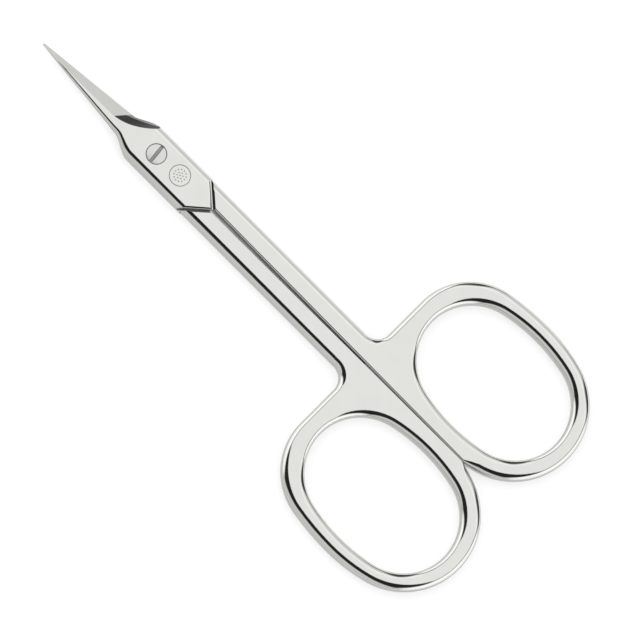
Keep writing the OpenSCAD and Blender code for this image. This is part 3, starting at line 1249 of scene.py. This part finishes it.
@dataclass
class Studio:
    """White floor under a white tent, with the dark opening that the camera looks through.

    Attributes:
        backlight: how white the floor is to the camera and in reflections, beside its own shade.
        seam_crest: where the tent's seam is highest, as x and the height above it to the side.
        seam_bend: how fast the seam falls off to both sides.
    """

    floor_colour: float = 0.94
    backlight: float = 0.65
    floor_size: float = 4.0
    floor_drop: float = 0.00002
    seam_crest: Pair = (0.215, 0.71)
    seam_bend: float = 0.27
    lamp_power: float = 13.0
    lamp_size: float = 1.6
    lamp_place: Point = (-0.1, 0.2, 1.1)

    def build(self) -> None:
        """Lays the floor, hangs the tent and sets the lamp."""
        self._floor()
        self._tent()
        self._lamp()

    def _floor(self) -> None:
        """A pale floor just below the scissors."""
        half = self.floor_size / 2
        corners = [(-half, -half, 0), (half, -half, 0), (half, half, 0), (-half, half, 0)]
        mesh = bpy.data.meshes.new("floor")
        mesh.from_pydata(corners, [], [(0, 1, 2, 3)])
        floor = put("floor", mesh)
        floor.location.z = -self.floor_drop
        material = bpy.data.materials.new("pale_floor")
        graph = Graph(material)
        paper = graph.add("ShaderNodeBsdfDiffuse", inputs={"Color": (*[self.floor_colour] * 3, 1)})
        white = graph.white("ShaderNodeEmission", 1.0)
        share = graph.ray("Camera", "Glossy", "Transmission") * self.backlight
        shown = graph.add("ShaderNodeMixShader", inputs={0: share, 1: paper, 2: white})
        graph.add("ShaderNodeOutputMaterial", inputs={"Surface": shown})
        mesh.materials.append(material)

    def _tent(self) -> None:
        """The tent's light by direction, plain white to the camera itself."""
        world = bpy.data.worlds.new("tent")
        bpy.context.scene.world = world
        graph = Graph(world)
        x, y, z = graph.components(graph.add("ShaderNodeTexCoord", output="Generated"))
        off = x - self.seam_crest[0]
        bow = self.seam_crest[1] - self.seam_bend * off * off - abs(y)
        axes = {"x": x, "side": abs(y), "z": z, "bow": abs(bow)}
        level = 1.0
        for wall in WALLS:
            level = level + wall.change * wall.mask(axes)
        for shade in (OPENING, SEAM, CORNER, RIM):
            level = level * (1 - shade.change * shade.mask(axes))
        seen = graph.ray("Camera", "Transmission")
        light = graph.white("ShaderNodeBackground", seen + level * (1 - seen))
        graph.add("ShaderNodeOutputWorld", inputs={"Surface": light})

    def _lamp(self) -> None:
        """A soft lamp that gives the scissors their shadow and isn't mirrored in them."""
        data = bpy.data.lights.new("softbox", "AREA")
        data.energy = self.lamp_power
        data.size = self.lamp_size
        lamp = put("softbox", data)
        lamp.location = self.lamp_place
        lamp.rotation_euler = (-lamp.location).to_track_quat("-Z", "Y").to_euler()
        lamp.visible_glossy = False


@dataclass
class Viewpoint:
    """The photograph's camera: almost square on, tilted to the left of the scissors, which lie diagonally.

    Attributes:
        tilt: angle from the straight look down towards -X, in degrees.
        axis_angle: angle of the scissors' long axis in the picture, down to the right, in degrees.
        scale: pixels per millimetre of the picture.
        centre: point of the scissors in the picture's centre, in millimetres of the frame.
        distance: how far the camera stands, in metres.
        sensor: width of its sensor, in Blender's millimetres.
        clip: nearest and furthest distance that it sees, in metres.
    """

    tilt: float = 12.4
    axis_angle: float = 45.07
    scale: float = 7.39
    centre: Point = (0.1, -7.9, 1.4)
    distance: float = 1.2
    sensor: float = 36.0
    clip: Pair = (0.01, 20.0)

    def build(self) -> None:
        """Sets up the camera."""
        tilt, angle = radians(self.tilt), radians(self.axis_angle)
        back = Vector((-sin(tilt), 0, cos(tilt)))
        tip = Vector((0, 1, 0))
        right = Vector((cos(tilt), 0, sin(tilt)))
        across = -cos(angle) * tip + sin(angle) * right
        up = sin(angle) * tip + cos(angle) * right
        data = bpy.data.cameras.new("camera")
        data.sensor_width = self.sensor
        data.lens = self.sensor * self.distance / (IMAGE_PX / self.scale * MM)
        data.clip_start, data.clip_end = self.clip
        camera = put("camera", data)
        where = Vector(self.centre) * MM + back * self.distance
        camera.matrix_world = Matrix.Translation(where) @ Matrix((across, up, back)).transposed().to_4x4()
        bpy.context.scene.camera = camera


# Assembly


def dress(solid: Solid, place: Matrix, node: str, body: str) -> bpy.types.Object:
    """Finishes a solid and puts it on its body in place of its CAD node.

    Args:
        solid: the piece, measured from the pivot.
        place: where the pivot stands, in millimetres.
        node: the CAD node that the piece stands for, which is hidden.
        body: the body that it moves with.

    Returns:
        The piece.
    """
    piece = solid.finished(place)
    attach(piece, body)
    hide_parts(node)
    log.info("%s: %d faces on body %s", piece.name, len(piece.data.polygons), body)
    return piece


def main() -> None:
    """Builds the scissors, the stage and the camera."""
    logging.basicConfig(level=logging.INFO, format="%(name)s: %(message)s")
    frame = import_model()
    pivot = Vector(frame["joints"][0]["pos_m"]) / MM
    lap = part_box("rear_half")[0].z / MM + Blade().plate_thickness
    place = shift(pivot.x, pivot.y, lap)
    steels = Steels()
    half = Half(steels)
    dress(half.front(), place, "front_half", "front")
    dress(half.rear(), place, "rear_half", "rear")
    dress(PivotScrew(steels).build(), place, "pivot_screw", "rear")
    Studio().build()
    Viewpoint().build()
    bpy.context.scene.view_settings.view_transform = "Standard"


if __name__ == "__main__":
    main()
